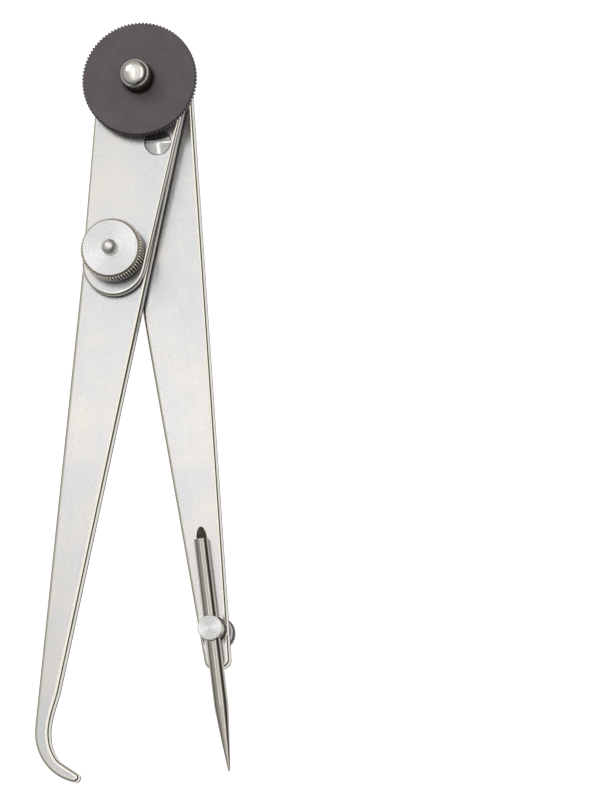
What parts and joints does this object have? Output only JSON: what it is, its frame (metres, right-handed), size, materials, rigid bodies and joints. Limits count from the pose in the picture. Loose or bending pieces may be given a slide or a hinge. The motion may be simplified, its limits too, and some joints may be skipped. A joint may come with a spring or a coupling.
{
  "type": "lock-joint hermaphrodite caliper",
  "caption": "Lock-joint hermaphrodite caliper with a hooked leg, an adjustable scriber point, a knurled joint disc and a transfer leaf with binding nut.",
  "frame": {"origin": "on the axis of the main joint, at the rear face of the point leg", "axes": "+Z along the joint axis towards the lock disc; -Y down the centreline of the point leg to the scriber's tip; the hook leg lies on the -X side"},
  "size_m": [0.0537, 0.1651, 0.024],
  "materials": {
    "leg_steel": "satin nickel-like finish, fine lengthwise grain, polished corners",
    "bright_steel": "polished",
    "turned_steel": "turned face with fine concentric marks",
    "black_disc": "black oxide, satin",
    "scriber_steel": "ground and hardened",
    "inner_steel": "plain machined"
  },
  "bodies": {
    "point_leg_body": {"point_leg": "leg_steel", "pivot_stud": "bright_steel", "distance_collar": "inner_steel", "key_washer": "inner_steel", "spring_washer": "inner_steel", "clamp_eye_bolt": "turned_steel"},
    "leaf_body": {"transfer_leaf": "leg_steel"},
    "hook_leg_body": {"hook_leg": "leg_steel", "leaf_pivot_screw": "bright_steel", "binding_stud": "bright_steel", "binding_washer": "inner_steel"},
    "lock_disc_body": {"lock_disc": "black_disc"},
    "binding_nut_body": {"binding_nut": "turned_steel"},
    "scriber_body": {"scriber": "scriber_steel"},
    "clamp_nut_body": {"clamp_nut": "turned_steel"}
  },
  "joints": [
    {"name": "caliper_opening", "type": "hinge", "parent": "point_leg_body", "child": "leaf_body", "pos_m": [0, 0, 0.0077], "axis": [0, 0, -1], "range_deg": [-9, 75]},
    {"name": "hook_fine_swing", "type": "hinge", "parent": "leaf_body", "child": "hook_leg_body", "pos_m": [0.00183, -0.01372, 0.0077], "axis": [0, 0, -1], "range_deg": [-2, 2]},
    {"name": "lock_disc_turn", "type": "hinge", "parent": "point_leg_body", "child": "lock_disc_body", "pos_m": [0, 0, 0.0115], "axis": [0, 0, 1], "range_deg": [0, 360]},
    {"name": "binding_nut_turn", "type": "hinge", "parent": "hook_leg_body", "child": "binding_nut_body", "pos_m": [-0.01046, -0.03695, 0.0113], "axis": [0, 0, 1], "range_deg": [0, 360]},
    {"name": "scriber_slide", "type": "slide", "parent": "point_leg_body", "child": "scriber_body", "axis": [0, -1, 0], "range_m": [0, 0.012]},
    {"name": "clamp_nut_turn", "type": "hinge", "parent": "point_leg_body", "child": "clamp_nut_body", "pos_m": [0, -0.1214, -0.0023], "axis": [0, 0, -1], "range_deg": [0, 360]}
  ]
}
